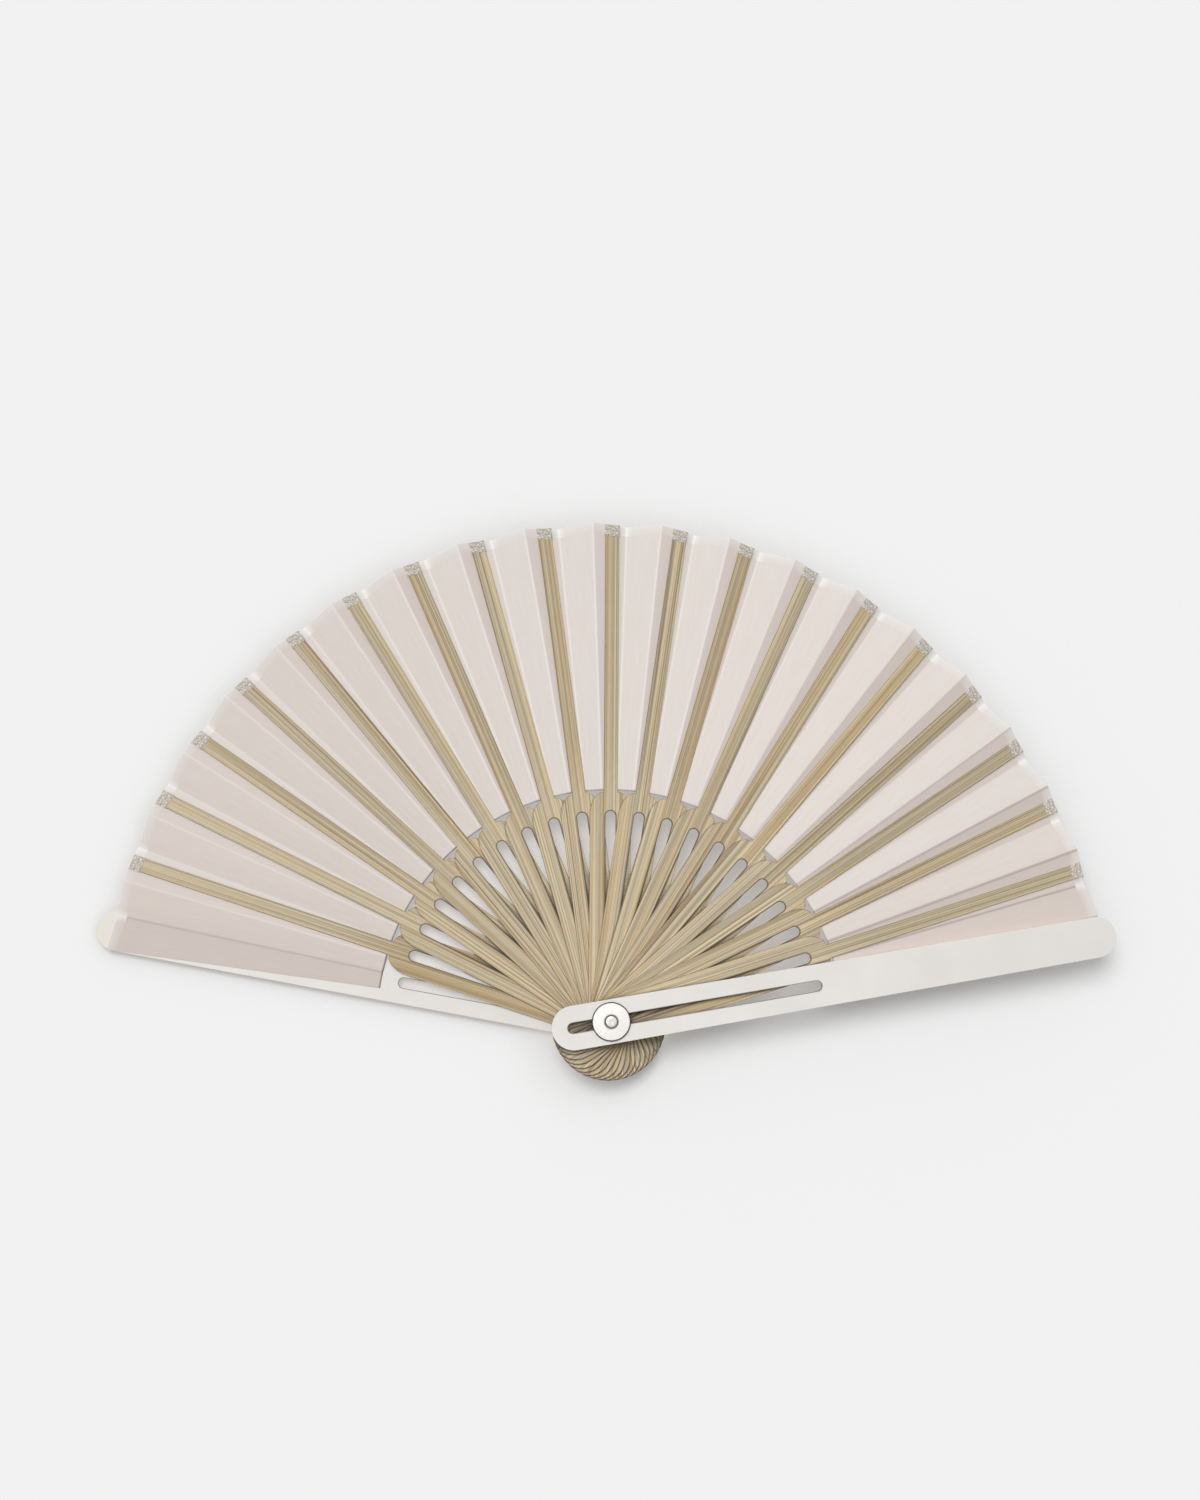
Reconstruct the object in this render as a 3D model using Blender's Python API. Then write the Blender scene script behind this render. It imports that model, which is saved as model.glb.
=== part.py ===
"""Folding hand fan, spread open.

Nineteen slotted bamboo sticks lie between two lacquered guards on one rivet, each a layer
above the last, and a pleated cloth leaf joins their outer strips.

Metres, +Z up. The Z axis is the rivet's axis and z = 0 is the face of its rear head. The
middle stick points along +Y, the rear guard lies low on the -X side and the front guard
lies on top on the +X side. Every stick turns about the Z axis.
"""

import math

import bmesh
import bpy
from mathutils import Vector

# Layout of the open fan
STICK_COUNT = 19
FOLD_STEP = math.radians(8.0)
MIDDLE_DIRECTION = math.radians(90.0)

# Rivet and its washers
PIN_RADIUS = 0.0019
PIN_CLEARANCE = 0.00015
HEAD_RADIUS = 0.00265
HEAD_THICKNESS = 0.0008
HEAD_EDGE = 0.00025
WASHER_RADIUS = 0.0077
WASHER_THICKNESS = 0.0008
WASHER_EDGE = 0.0002

# Layers of the stack
LAYER_GAP = 0.0002
GUARD_GAP = 0.0005
STICK_THICKNESS = 0.0006
STRIP_THICKNESS = 0.00035
GUARD_THICKNESS = 0.002
GUARD_EDGE = 0.00045
CLOTH_THICKNESS = 0.0002
CLOTH_GAP = 0.00015

# Stick outline, measured from the rivet's axis
TAIL_REACH = 0.0236
STICK_WIDTH = 0.0165
SHOULDER_START = 0.0819
SHOULDER_LENGTH = 0.0095
STRIP_WIDTH = 0.00565
STRIP_END = 0.1997
SLOT_TAIL_WALL = 0.0063
SLOT_END_WALL = 0.0077

# Guard outline, measured from the rivet's axis
GUARD_END = 0.2064
GUARD_TAIL_WIDTH = 0.0175
GUARD_END_WIDTH = 0.0163
GUARD_SLOT_EXTRA = 0.0014

# Pleated leaf
LEAF_INSET = 0.0006
LEAF_COVER = 0.0007
VALLEY_INSET = 0.0012
PLEAT_RISE = 0.003
PLEAT_GAP = 0.0003
MOUNTAIN_SHARE = 0.575
TWIST_LENGTH = 0.033
TWIST_STEP = math.radians(2.5)
TWIST_ROW_SHARES = (0.25, 0.5, 0.75, 1.0)

# Fineness of the curves
TAIL_SEGMENTS = 16
SLOT_SEGMENTS = 10
SHOULDER_SEGMENTS = 7
TURNED_STEPS = 36
EDGE_SEGMENTS = 2
SHARP_ANGLE = math.radians(35.0)

# Sizes worked out from the values above
SLOT_RADIUS = PIN_RADIUS + PIN_CLEARANCE
SHOULDER_END = SHOULDER_START + SHOULDER_LENGTH
SLOT_TAIL = SLOT_TAIL_WALL - TAIL_REACH
SLOT_END = SHOULDER_END - SLOT_END_WALL
STRIP_RELIEF = STICK_THICKNESS - STRIP_THICKNESS
LAYER_PITCH = STICK_THICKNESS + LAYER_GAP
LEAF_INNER = SHOULDER_END + LEAF_INSET
LEAF_OUTER = STRIP_END + LEAF_COVER
PANEL_ANGLE = FOLD_STEP / 2
MOUNTAIN_ANGLE = MOUNTAIN_SHARE * PANEL_ANGLE
VALLEY_ANGLE = MOUNTAIN_ANGLE - PANEL_ANGLE
FULL_SLOPE = PLEAT_RISE / (LEAF_OUTER * PANEL_ANGLE)

# Heights of the layers, from the rear rivet head up
REAR_WASHER_Z = HEAD_THICKNESS + LAYER_GAP
REAR_GUARD_Z = REAR_WASHER_Z + WASHER_THICKNESS + LAYER_GAP
REAR_GUARD_TOP = REAR_GUARD_Z + GUARD_THICKNESS
FIRST_STICK_Z = REAR_GUARD_TOP + GUARD_GAP
LAST_STICK_TOP = FIRST_STICK_Z + STICK_COUNT * LAYER_PITCH - LAYER_GAP
FRONT_GUARD_Z = LAST_STICK_TOP + GUARD_GAP
FRONT_WASHER_Z = FRONT_GUARD_Z + GUARD_THICKNESS + LAYER_GAP
FRONT_HEAD_Z = FRONT_WASHER_Z + WASHER_THICKNESS + LAYER_GAP
RIVET_TOP = FRONT_HEAD_Z + HEAD_THICKNESS

# Colours, roughness and metallic values
LACQUER = ((0.80, 0.78, 0.75), 0.35, 0.0)
CLOTH = ((0.68, 0.60, 0.57), 0.85, 0.0)
STEEL = ((0.72, 0.71, 0.69), 0.38, 1.0)
BAMBOO_TONES = (
    (0.49, 0.38, 0.26),
    (0.46, 0.39, 0.27),
    (0.53, 0.41, 0.25),
    (0.44, 0.37, 0.26),
)
BAMBOO_ROUGHNESS = 0.5


def clear_scene():
    for item in list(bpy.data.objects):
        bpy.data.objects.remove(item, do_unlink=True)


def material_for(name, finish):
    colour, roughness, metallic = finish
    material = bpy.data.materials.new(name)
    material.use_nodes = True
    shader = material.node_tree.nodes["Principled BSDF"]
    shader.inputs["Base Color"].default_value = (*colour, 1.0)
    shader.inputs["Roughness"].default_value = roughness
    shader.inputs["Metallic"].default_value = metallic
    return material


def add_object(name, bm, finish):
    """Turn a bmesh into a named object with its own material, and return it."""
    bmesh.ops.recalc_face_normals(bm, faces=bm.faces[:])
    mesh = bpy.data.meshes.new(name)
    bm.to_mesh(mesh)
    bm.free()
    mesh.shade_smooth()
    mesh.set_sharp_from_angle(angle=SHARP_ANGLE)
    item = bpy.data.objects.new(name, mesh)
    item.data.materials.append(material_for(name, finish))
    bpy.context.scene.collection.objects.link(item)
    return item


def arc(centre, radii, start, end, segments):
    """Points of an elliptical arc, both ends included."""
    points = []
    for step in range(segments + 1):
        angle = start + (end - start) * step / segments
        u = centre[0] + radii[0] * math.cos(angle)
        v = centre[1] + radii[1] * math.sin(angle)
        points.append((u, v))
    return points


def slot_outline(tail, end):
    """A straight slot with round ends, from tail to end along the stick."""
    quarter = math.pi / 2
    radii = (SLOT_RADIUS, SLOT_RADIUS)
    outer = arc((end - SLOT_RADIUS, 0), radii, -quarter, quarter, SLOT_SEGMENTS)
    inner = arc((tail + SLOT_RADIUS, 0), radii, quarter, 3 * quarter, SLOT_SEGMENTS)
    return outer + inner


def plate_bmesh(outline, slot, thickness):
    """A flat slotted plate standing on z = 0, extruded from its outline."""
    bm = bmesh.new()
    edges = []
    for loop in (outline, slot):
        verts = [bm.verts.new((u, v, 0)) for u, v in loop]
        pairs = zip(verts, verts[1:] + verts[:1])
        edges += [bm.edges.new(pair) for pair in pairs]
    bmesh.ops.triangle_fill(bm, edges=edges, use_beauty=True)
    raised = bmesh.ops.extrude_face_region(bm, geom=bm.faces[:])
    top = [element for element in raised["geom"] if isinstance(element, bmesh.types.BMVert)]
    bmesh.ops.translate(bm, verts=top, vec=(0, 0, thickness))
    return bm, set(top)


def turned_bmesh(profile, closed):
    """Spin a profile of (radius, height) points about the Z axis."""
    bm = bmesh.new()
    verts = [bm.verts.new((radius, 0, height)) for radius, height in profile]
    pairs = list(zip(verts, verts[1:]))
    if closed:
        pairs.append((verts[-1], verts[0]))
    edges = [bm.edges.new(pair) for pair in pairs]
    bmesh.ops.spin(
        bm,
        geom=verts + edges,
        cent=(0, 0, 0),
        axis=(0, 0, 1),
        angle=math.tau,
        steps=TURNED_STEPS,
        use_merge=True,
        use_duplicate=False,
    )
    bmesh.ops.remove_doubles(bm, verts=bm.verts[:], dist=HEAD_EDGE / TURNED_STEPS)
    return bm


def twist_share(reach):
    """How much of its tilt a strip has at this distance from the rivet."""
    share = (reach - SHOULDER_START) / TWIST_LENGTH
    share = min(max(share, 0), 1)
    return share * share * (3 - 2 * share)


def slope_of(layer):
    """Sideways slope of layer 0 (rear guard) to STICK_COUNT + 1 (front guard)."""
    from_guard = min(layer, STICK_COUNT + 1 - layer)
    return min(FULL_SLOPE, from_guard * math.tan(TWIST_STEP))


def twist_rows(start):
    """Distances from the rivet, past start, at which the twist is drawn."""
    length = SHOULDER_START + TWIST_LENGTH - start
    return [start + share * length for share in TWIST_ROW_SHARES]


def stick_outline():
    half = STICK_WIDTH / 2
    strip = STRIP_WIDTH / 2
    quarter = math.pi / 2
    tail = arc((half - TAIL_REACH, 0), (half, half), quarter, 3 * quarter, TAIL_SEGMENTS)
    drop = (SHOULDER_LENGTH, half - strip)
    side = arc((SHOULDER_START, strip), drop, quarter, 0, SHOULDER_SEGMENTS)
    side += [(reach, strip) for reach in twist_rows(SHOULDER_END)]
    side.append((STRIP_END, strip))
    lower = [(u, -v) for u, v in side]
    return tail + lower + side[::-1]


def relief_at(reach):
    """Height of the underside: it rises along the shoulder to the thinner strip."""
    share = (reach - SHOULDER_START) / SHOULDER_LENGTH
    return STRIP_RELIEF * min(max(share, 0), 1)


def make_stick(layer):
    slot = slot_outline(SLOT_TAIL, SLOT_END)
    bm, top = plate_bmesh(stick_outline(), slot, STICK_THICKNESS)
    for vert in bm.verts:
        if vert not in top:
            vert.co.z = relief_at(vert.co.x)
        vert.co.z += slope_of(layer) * twist_share(vert.co.x) * vert.co.y
    tone = BAMBOO_TONES[layer % len(BAMBOO_TONES)]
    return add_object(f"stick_{layer:02d}", bm, (tone, BAMBOO_ROUGHNESS, 0.0))


def guard_outline():
    tail = GUARD_TAIL_WIDTH / 2
    end = GUARD_END_WIDTH / 2
    quarter = math.pi / 2
    round_tail = arc((tail - TAIL_REACH, 0), (tail, tail), quarter, 3 * quarter, TAIL_SEGMENTS)
    round_end = arc((GUARD_END - end, 0), (end, end), -quarter, quarter, TAIL_SEGMENTS)
    return round_tail + round_end


def make_guard(name):
    slot = slot_outline(SLOT_TAIL, SLOT_END + GUARD_SLOT_EXTRA)
    bm, _ = plate_bmesh(guard_outline(), slot, GUARD_THICKNESS)
    guard = add_object(name, bm, LACQUER)
    edge = guard.modifiers.new("soft edges", "BEVEL")
    edge.width = GUARD_EDGE
    edge.segments = EDGE_SEGMENTS
    edge.limit_method = "ANGLE"
    edge.angle_limit = SHARP_ANGLE
    return guard


def make_washer(name):
    hole = PIN_RADIUS + PIN_CLEARANCE
    profile = [
        (hole, 0),
        (WASHER_RADIUS - WASHER_EDGE, 0),
        (WASHER_RADIUS, WASHER_EDGE),
        (WASHER_RADIUS, WASHER_THICKNESS - WASHER_EDGE),
        (WASHER_RADIUS - WASHER_EDGE, WASHER_THICKNESS),
        (hole, WASHER_THICKNESS),
    ]
    return add_object(name, turned_bmesh(profile, closed=True), STEEL)


def make_rivet():
    rear = [
        (0, 0),
        (HEAD_RADIUS - HEAD_EDGE, 0),
        (HEAD_RADIUS, HEAD_EDGE),
        (HEAD_RADIUS, HEAD_THICKNESS),
        (PIN_RADIUS, HEAD_THICKNESS),
    ]
    front = [(radius, RIVET_TOP - height) for radius, height in rear]
    return add_object("rivet", turned_bmesh(rear + front[::-1], closed=False), STEEL)


def cloth_height(layer):
    """Height of the cloth's middle under a layer, above that layer's own origin."""
    half = CLOTH_THICKNESS / 2
    if layer == 0:
        return GUARD_THICKNESS + CLOTH_GAP + half
    if layer == STICK_COUNT + 1:
        return -CLOTH_GAP - half
    return STRIP_RELIEF - CLOTH_GAP - half


def layer_z(layer):
    """Height of a layer's origin, its underside, above the rear rivet head."""
    if layer == 0:
        return REAR_GUARD_Z
    if layer == STICK_COUNT + 1:
        return FRONT_GUARD_Z
    return FIRST_STICK_Z + (layer - 1) * LAYER_PITCH


def front_panel_z(layer, reach, angle):
    """Height of the panel that lies along a layer, in that layer's own frame."""
    tilt = slope_of(layer) * twist_share(reach)
    return cloth_height(layer) + tilt * reach * math.sin(angle)


def back_panel_z(layer, reach, share):
    """Height of the panel between a layer's mountain fold and the valley before it."""
    valley = front_panel_z(layer - 1, reach, VALLEY_ANGLE) + layer_z(layer - 1) - layer_z(layer)
    mountain = front_panel_z(layer, reach, MOUNTAIN_ANGLE)
    return valley + (mountain - valley) * share


def pleat_columns(layer, reach):
    """Angle, height and distance from the mountain fold of each line of the cloth."""
    spare = PLEAT_GAP / reach / 2
    first = MOUNTAIN_ANGLE + PANEL_ANGLE - spare
    last = VALLEY_ANGLE + spare
    columns = []
    if layer > 0:
        for share in (0, 0.5):
            angle = first + (MOUNTAIN_ANGLE - first) * share
            columns.append((angle, back_panel_z(layer, reach, share), 1 - share))
    for share in (0, 0.5, 1):
        angle = MOUNTAIN_ANGLE + (last - MOUNTAIN_ANGLE) * share
        columns.append((angle, front_panel_z(layer, reach, angle), share))
    return columns


def make_pleat(layer):
    """One pleat of the leaf: the panel along a layer and the one that rises to it."""
    reaches = [LEAF_INNER] + twist_rows(LEAF_INNER) + [LEAF_OUTER]
    bm = bmesh.new()
    grid = []
    for reach in reaches:
        row = []
        for angle, height, valley in pleat_columns(layer, reach):
            inset = VALLEY_INSET * valley if reach == LEAF_OUTER else 0
            out = reach - inset
            point = Vector((out * math.cos(angle), out * math.sin(angle), height))
            row.append(bm.verts.new(point))
        grid.append(row)
    for low, high in zip(grid, grid[1:]):
        for left in range(len(low) - 1):
            bm.faces.new((low[left + 1], high[left + 1], high[left], low[left]))
    pleat = add_object(f"leaf_{layer:02d}", bm, CLOTH)
    cloth = pleat.modifiers.new("cloth", "SOLIDIFY")
    cloth.thickness = CLOTH_THICKNESS
    cloth.offset = 0
    return pleat


def make_layer(layer):
    if layer == 0:
        return make_guard("rear_guard")
    if layer == STICK_COUNT + 1:
        return make_guard("front_guard")
    return make_stick(layer)


def build_fan():
    """Stack the layers, each turned by one fold step from the layer that carries it."""
    carrier = None
    for layer in range(STICK_COUNT + 2):
        item = make_layer(layer)
        pleat = make_pleat(layer)
        pleat.parent = item
        if carrier is None:
            spread = FOLD_STEP * (STICK_COUNT + 1)
            item.rotation_euler.z = MIDDLE_DIRECTION + spread / 2
            item.location.z = layer_z(layer)
        else:
            item.parent = carrier
            item.rotation_euler.z = -FOLD_STEP
            item.location.z = layer_z(layer) - layer_z(layer - 1)
        carrier = item
    make_rivet()
    make_washer("rear_washer").location.z = REAR_WASHER_Z
    make_washer("front_washer").location.z = FRONT_WASHER_Z


clear_scene()
build_fan()
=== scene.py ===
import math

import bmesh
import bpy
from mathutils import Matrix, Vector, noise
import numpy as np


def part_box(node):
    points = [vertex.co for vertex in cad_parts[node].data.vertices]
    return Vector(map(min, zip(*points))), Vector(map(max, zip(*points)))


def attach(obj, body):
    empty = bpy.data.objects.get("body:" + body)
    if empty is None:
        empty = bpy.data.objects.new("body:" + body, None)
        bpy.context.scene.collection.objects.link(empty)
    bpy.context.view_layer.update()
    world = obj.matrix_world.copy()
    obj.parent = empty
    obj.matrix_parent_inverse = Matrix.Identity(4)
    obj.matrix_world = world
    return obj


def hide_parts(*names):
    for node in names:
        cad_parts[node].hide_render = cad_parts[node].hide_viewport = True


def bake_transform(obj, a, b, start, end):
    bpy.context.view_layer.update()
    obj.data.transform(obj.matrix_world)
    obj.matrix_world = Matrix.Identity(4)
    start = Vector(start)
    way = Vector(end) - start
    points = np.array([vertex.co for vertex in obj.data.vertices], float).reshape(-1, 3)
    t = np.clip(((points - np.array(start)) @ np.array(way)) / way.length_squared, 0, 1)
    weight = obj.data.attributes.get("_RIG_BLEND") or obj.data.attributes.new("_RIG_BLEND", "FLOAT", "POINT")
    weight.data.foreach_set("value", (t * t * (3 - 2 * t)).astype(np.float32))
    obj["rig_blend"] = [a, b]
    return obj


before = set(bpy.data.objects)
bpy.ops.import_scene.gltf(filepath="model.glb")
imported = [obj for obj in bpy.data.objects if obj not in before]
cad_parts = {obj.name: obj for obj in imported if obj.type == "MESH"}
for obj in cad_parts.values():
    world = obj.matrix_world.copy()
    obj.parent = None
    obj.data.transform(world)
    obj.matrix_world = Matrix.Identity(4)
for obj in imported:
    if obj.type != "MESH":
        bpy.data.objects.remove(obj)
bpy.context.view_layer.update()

# Looks of the folding fan: bamboo and lacquer on the frame's own sticks and guards, a rivet
# and washers of satin metal, and a pleated cloth leaf with a sheer hem, in thin sheets.
# Metres, +Z up. The rivet's axis is the Z axis and the middle stick points along +Y.

# Layout of the open fan, as in the frame: layer 0 is the rear guard, 20 the front guard
STICK_COUNT = 19
LAST_LAYER = STICK_COUNT + 1
FOLD_STEP = math.radians(8.0)
REAR_DIRECTION = math.radians(90.0) + FOLD_STEP * LAST_LAYER / 2
MOUNTAIN = math.radians(2.3)
VALLEY = MOUNTAIN - FOLD_STEP / 2

# Layers of the stack
GUARD_GAP = 0.0005
STICK_THICKNESS = 0.0006
STRIP_THICKNESS = 0.00035
LAYER_PITCH = 0.0008
REAR_GUARD_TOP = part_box("rear_guard")[1].z
FRONT_GUARD_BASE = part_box("front_guard")[0].z

# Twist of the strips
TWIST_START = 0.0819
TWIST_LENGTH = 0.033
TWIST_END = TWIST_START + TWIST_LENGTH
TWIST_STEP = math.radians(2.5)
PLEAT_RISE = 0.003
STRIP_HALF_WIDTH = 0.002825

# Slots, measured from the rivet's axis, and the dark line with painted shadow along their edges
SLOT_TAIL = -0.0173
SLOT_END = 0.0837
GUARD_SLOT_END = 0.0851
SLOT_RADIUS = 0.00205
SLOT_LINE = 0.0002
SLOT_LINE_FADE = 0.00065
GUARD_LINE_FADE = 0.0004

# Cloth of the leaf. The grain of puckers and ripples is a wave's length outwards, the waves
# across a panel and the step from layer to layer.
LEAF_INNER = 0.0920
LEAF_OUTER = 0.2004
FULL_SLOPE = PLEAT_RISE / (LEAF_OUTER * FOLD_STEP / 2)
VALLEY_INSET = 0.0016
INSET_POWER = 0.8
MOUNTAIN_OUTSET = 0.0005
CLOTH_THICKNESS = 0.00012
CLOTH_LIFT = 0.0001
FOLD_RADIUS = 0.0003
PANEL_BOW = 0.00015
PUCKER_HEIGHT = 0.0003
PUCKER_REACH = 0.014
PUCKER_GRAIN = (0.012, 4.0, 0.25)
RIPPLE_HEIGHT = 0.0002
RIPPLE_GRAIN = (0.03, 1.3, 0.2)
# Width of the painted highlight and shadow lines along the folds
FOLD_LIGHT_WIDTH = 0.0004
NOTCH_WIDTH = 0.0009
INNER_LINE = 0.0008
HEM_WIDTH = 0.0046
HEM_LIFT = 0.00016
HEM_SINK = 1.25
HEM_TURN = 0.00016
HEM_STEP = 0.0005
STRIP_MARGIN = 0.00006
STRIP_INSET = 0.0005
THREAD_PITCH = 0.00035

# Marks of the cloth by layer, as (layer, value). Painted highlight lines along the folds are
# light above 0, and painted shadow lines dark below it. The cloth gets painted shade at the
# mountain side and the valley side of each strip, and on the panel after it. The last table is
# the painted shadow line along the leaf's inner edge.
MOUNTAIN_LIGHT_AND_SHADE = (
    (0, 0.5), (1, 0.5), (4, 0.65), (7, 1), (11, 1), (13, -0.1), (15, -0.3), (16, -0.8),
    (17, -1.4), (18, -2.1),
)
VALLEY_LIGHT_AND_SHADE = (
    (0, -0.7), (1, 0.5), (4, 0.5), (7, 1.1), (10, 1.1), (13, 0.8), (16, -0.1), (18, -0.1),
    (19, -1.3),
)
MOUNTAIN_SIDE_PAINTED_SHADE = (
    (1, 0.38), (5, 0.5), (7, 0.6), (10, 0.42), (13, 0.5), (16, 0.65), (17, 0.64), (18, 0.76),
    (19, 0.7),
)
VALLEY_SIDE_PAINTED_SHADE = (
    (0, 0.7), (1, 0.0), (6, 0.02), (9, 0.12), (12, 0.22), (14, 0.3), (16, 0.42), (18, 0.52),
    (19, 0.52),
)
PANEL_PAINTED_SHADE = ((0, 0.46), (1, 0.27), (5, 0.15), (8, 0), (17, 0), (18, 0.15), (19, 0.63))
INNER_SHADOW_LINES = ((0, 0.95), (4, 0.95), (7, 0.75), (14, 0.55), (19, 0.5))

# Places of the cloth's points: shares of a panel or of the hem, offsets from a fold, and for
# the lines beside a strip the offset from its middle and the widest angle
PANEL_SHARES = (0.18, 0.34, 0.5, 0.66, 0.82)
REAR_END_SHARES = (1, 0.6, 0.3)
FRONT_END_SHARES = (0.5, 1)
FOLD_OFFSETS = (0.0007, 0.0004, 0.0002, 0.0, -0.0002, -0.0004, -0.0007)
STRIP_LINES = ((0.0016, 0.009), (0.00288, 0.0163), (0.0034, 0.0202))
PUCKER_ROWS = 9
PANEL_ROWS = 16
HEM_ROWS = 4
HEM_SHARES = (0.25, 0.5, 0.75, 1.0)
TURN_ROWS = 4
CLOTH_MARKS = ("fold_light", "painted_shade", "hemmed", "notch", "beside", "inner")

# The photograph's frame
PHOTO_HEIGHT = 1500
CAMERA_PLACE = (-0.070, 0.027, 0.9)
CAMERA_TURN = (math.radians(5.18), math.radians(-4.26), math.radians(0.39))
FOCAL_PIXELS = 2223.3
SENSOR = 36.0

# Light levels: together they light the floor to the colour that it is written in
AMBIENT_LEVEL = 0.4
AMBIENT_LEAN = 0.6
KEY_LEVEL = 0.6
KEY_ELEVATION = math.radians(68.0)
KEY_DIRECTION = math.radians(126.0)
KEY_SPREAD = math.radians(30.0)
BACKGROUND = (0.887, 0.887, 0.887, 1.0)

# The floor, by how open the place is, from 0.2 in the deepest crevice to 1 in the open: the
# share of its tone that is seen without any light, more of it as painted light in the fan's
# shade, and the painted shadow that multiplies the tone, which lifts it a little in places
FLOOR_GLOW = (
    (0.2, 0.7), (0.24, 0.4), (0.3, 0.42), (0.34, 0.45), (0.4, 0.6), (0.52, 0.58), (0.64, 0.25),
)
FLOOR_PAINTED_SHADOW = (
    (0.2, (0.82, 0.79, 0.75, 1)), (0.24, (1.0, 0.99, 0.985, 1)), (0.3, (1.02, 1.01, 1.0, 1)),
    (0.34, (0.985, 0.945, 0.91, 1)), (0.4, (0.86, 0.8, 0.745, 1)), (0.5, (0.83, 0.77, 0.715, 1)),
    (0.58, (0.87, 0.865, 0.86, 1)), (0.7, (0.87, 0.87, 0.87, 1)), (0.76, (0.88, 0.88, 0.88, 1)),
    (0.84, (0.935, 0.935, 0.935, 1)), (0.92, (0.985, 0.985, 0.985, 1)), (1.0, (1.0, 1.0, 1.0, 1)),
)
FLOOR_SHADOW_REACH = 0.03
FLOOR_SAMPLES = 8
FLOOR_SIZE = 6.0

# Bamboo. Tones are colours written as 0 to 255, with their places where they are stops of a
# ramp, and shades multiply a tone. A grain is a noise's scale along each axis, its shift and
# its detail, and a relief is how strong and how high a bump is.
BAMBOO_TONES = (
    (0.3, (184, 161, 125)), (0.41, (191, 170, 129)), (0.49, (194, 177, 146)),
    (0.57, (180, 169, 142)), (0.68, (194, 177, 146)),
)
NOISE_SHIFT = Vector((1, 0.37, 0.71))
LAYER_SHIFT = 11.3
TONE_LEAN = 0.1
LEAN_STEP = 1.7
LEAN_PLACE = (0.3, 0.6)
BAND_GRAIN = ((2.5, 520, 0), 0, 2)
FIBRE_GRAIN = ((4, 1350, 0), 3, 3)
FIBRE_SHADES = ((0.34, 0.68), (0.5, 0.98), (0.64, 1.14))
FIBRE_ROUGHNESS = ((0.2, 0.62), (0.8, 0.46))
FIBRE_RELIEF = (0.35, 0.00006)
FLECK_GRAIN = ((260, 3400, 0), 13, 1)
FLECK_SHADES = ((0.3, 0.95), (0.7, 1.04))
FIRST_STICK_SHADE = (0.85, 0.79, 0.69, 1)

# Threads in the bamboo: grain, the noise level where they start, strength and tone
THREAD_SPREAD = 0.04
BAMBOO_THREADS = (
    (((1.2, 700, 0), 7, 0), 0.56, 0.78, (124, 101, 72)),
    (((1.2, 1250, 0), 9, 0), 0.54, 0.8, (120, 98, 70)),
    (((1.2, 900, 0), 17, 0), 0.36, 0.75, (222, 206, 171)),
)

# Shade of each stick's strip, by layer
STRIP_SHADES = (
    (1, 1.0), (2, 0.93), (3, 0.86), (4, 0.93), (5, 0.91), (6, 0.96), (7, 0.94), (8, 1.03),
    (9, 0.91), (10, 0.99), (12, 1.03), (13, 1.1), (14, 1.11), (15, 1.05), (16, 1.03),
    (17, 0.85), (18, 0.87), (19, 0.89),
)

# Painted shade in the crevices between sticks, by how open they are, with painted light just
# beyond it that evens out their real shading, and the same between their tails
CREVICE_REACH = 0.0038
CREVICE_SAMPLES = 6
PAINTED_CREVICE_SHADE = (
    (0.3, (0.07, 0.05, 0.03, 1)), (0.45, (0.18, 0.15, 0.1, 1)), (0.54, (0.6, 0.56, 0.5, 1)),
    (0.6, (0.96, 0.94, 0.91, 1)), (0.67, (1.13, 1.13, 1.13, 1)), (0.8, (1.09, 1.09, 1.09, 1)),
    (0.95, (1, 1, 1, 1)),
)
PAINTED_TAIL_SHADE = (
    (0.3, (1, 1, 1, 1)), (0.45, (0.6, 0.56, 0.5, 1)), (0.56, (0.07, 0.05, 0.03, 1)),
    (0.7, (0.07, 0.05, 0.03, 1)), (0.77, (0.66, 0.63, 0.58, 1)), (0.82, (1.08, 1.08, 1.08, 1)),
)
TAIL_START = -0.004
TAIL_FULL = -0.007

# Dark arrises of the sticks and dark lines round the slots, partly dark edges and partly painted
# shadow. An arris falls off with how alike its rounded and its plain normal are, and its
# strength changes from tail to strip.
ARRIS_WIDTH = 0.0007
ARRIS_SAMPLES = 6
ARRIS_FALL = ((0.8, 1), (0.98, 0))
ARRIS_START = -0.01
ARRIS_END = 0.06
ARRIS_STRENGTHS = ((0.04, 1.0), (0.09, 0.25), (0.5, 0.25), (0.93, 0.72))
ARRIS_DARK_AND_SHADOW_TONE = (76, 58, 36)
SLOT_STRENGTHS = ((0.0, 0.0), (1.0, 0.9))
SLOT_EDGE_AND_SHADOW_TONE = (70, 54, 35)
GUARD_SLOT_STRENGTHS = ((0.0, 0.0), (1.0, 0.8))
GUARD_SLOT_EDGE_AND_SHADOW_TONE = (118, 106, 92)

# Lacquer of the guards
CLOUD_GRAIN = ((45, 45, 45), 2, 3)
LACQUER_TONES = ((0.3, (222, 218, 213)), (0.7, (228, 225, 221)))
LACQUER_GRAIN = ((2200, 2200, 2200), 5, 2)
LACQUER_ROUGHNESS = ((0.3, 0.34), (0.7, 0.44))
LACQUER_RELIEF = (0.12, 0.00004)
COAT_WEIGHT = 0.15
COAT_ROUGHNESS = 0.3
REAR_SHADE = (0.955, 0.95, 0.945, 1)
REAR_END_TONE = (217, 212, 201)
FRONT_END_SHADE = (0.94, 0.94, 0.93, 1)
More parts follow.
